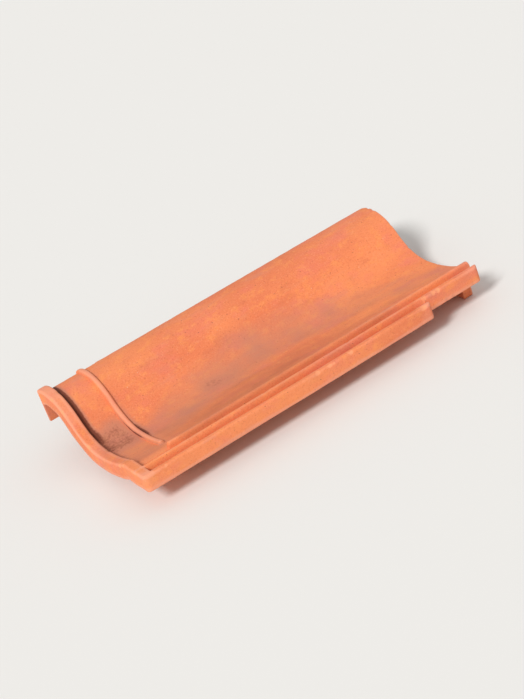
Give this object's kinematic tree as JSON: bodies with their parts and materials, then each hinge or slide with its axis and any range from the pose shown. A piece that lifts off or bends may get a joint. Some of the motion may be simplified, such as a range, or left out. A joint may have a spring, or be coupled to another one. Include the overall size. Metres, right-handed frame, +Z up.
{
  "type": "clay roof tile",
  "caption": "Interlocking clay pantile: a tall half-round roll beside a shallow pan, ribbed side and head locks, cut corners, hanging nibs and a foot rib underneath.",
  "frame": {"origin": "middle of the tile's plan, on the level floor that the nibs and the foot rib rest on", "axes": "+Z up out of the weather face, +Y down the slope from the head end to the foot end, +X from the roll, whose outer edge is the cover lock, to the ribbed side lock"},
  "size_m": [0.248, 0.42, 0.076],
  "materials": {
    "fired_clay": "matte"
  },
  "bodies": {
    "root": {"roof_tile": "fired_clay"}
  },
  "joints": []
}
